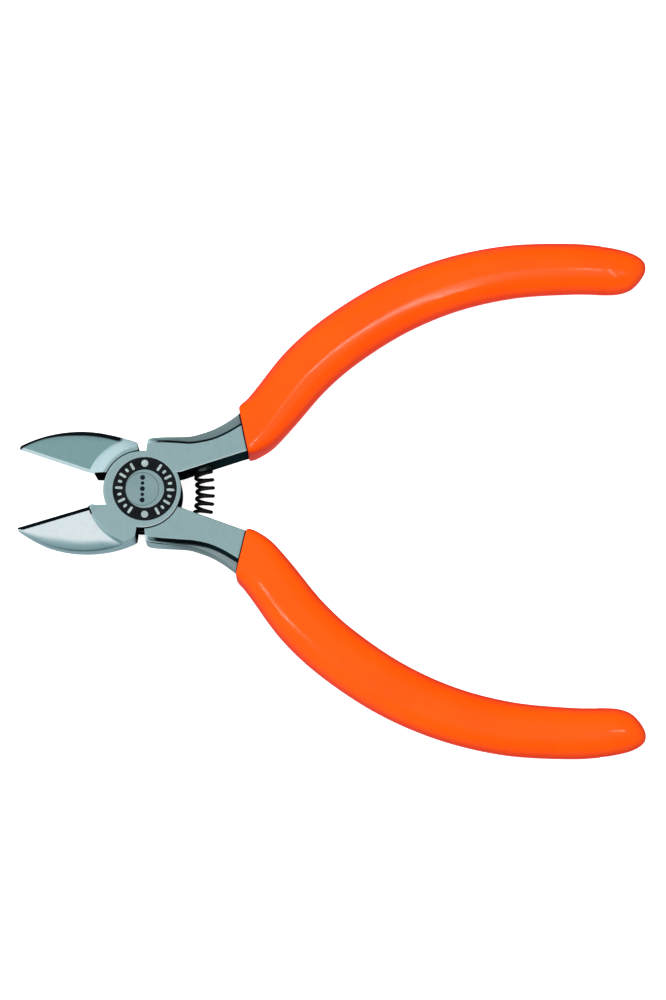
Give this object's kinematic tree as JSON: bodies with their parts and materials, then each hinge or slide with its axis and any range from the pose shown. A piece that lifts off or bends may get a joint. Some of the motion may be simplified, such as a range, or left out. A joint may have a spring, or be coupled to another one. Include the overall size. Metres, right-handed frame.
{
  "type": "flush cutter",
  "caption": "Small flush cutter with a riveted lap joint, a coil return spring and dipped grips, for trimming wire and component leads at the bench.",
  "frame": {"origin": "on the pivot's axis, at the flat rear end of the rivet and joint", "axes": "+Z along the pivot from the rear face to the front face, +X from the pivot towards the handle ends, +Y towards the handle of the front lever"},
  "size_m": [0.1105, 0.092, 0.01],
  "materials": {
    "lever_steel": "fine ground, cool grey",
    "rivet_steel": "ground flush with the joint",
    "spring_steel": "black oxide",
    "peg_steel": "plain drawn pin",
    "grip_pvc": "smooth satin dipped PVC, orange"
  },
  "bodies": {
    "rear_half": {"rear_lever": "lever_steel", "pivot_rivet": "rivet_steel", "lower_grip": "grip_pvc", "lower_spring_peg": "peg_steel"},
    "front_half": {"front_lever": "lever_steel", "upper_grip": "grip_pvc", "upper_spring_peg": "peg_steel"},
    "spring": {"return_spring": "spring_steel"}
  },
  "joints": [
    {"name": "pivot", "type": "hinge", "parent": "rear_half", "child": "front_half", "pos_m": [0, 0, 0.0043], "axis": [0, 0, 1], "range_deg": [-35, 11], "stiffness_Nm_per_rad": 0.05, "springref_deg": 14.32, "deforming": ["return_spring"]},
    {"name": "spring_follow", "type": "hinge", "parent": "rear_half", "child": "spring", "pos_m": [0, 0, 0.0043], "axis": [0, 0, 1], "range_deg": [-17.5, 5.5]}
  ],
  "couplings": [
    {"joint": "spring_follow", "follows": "pivot", "ratio": 0.5}
  ]
}
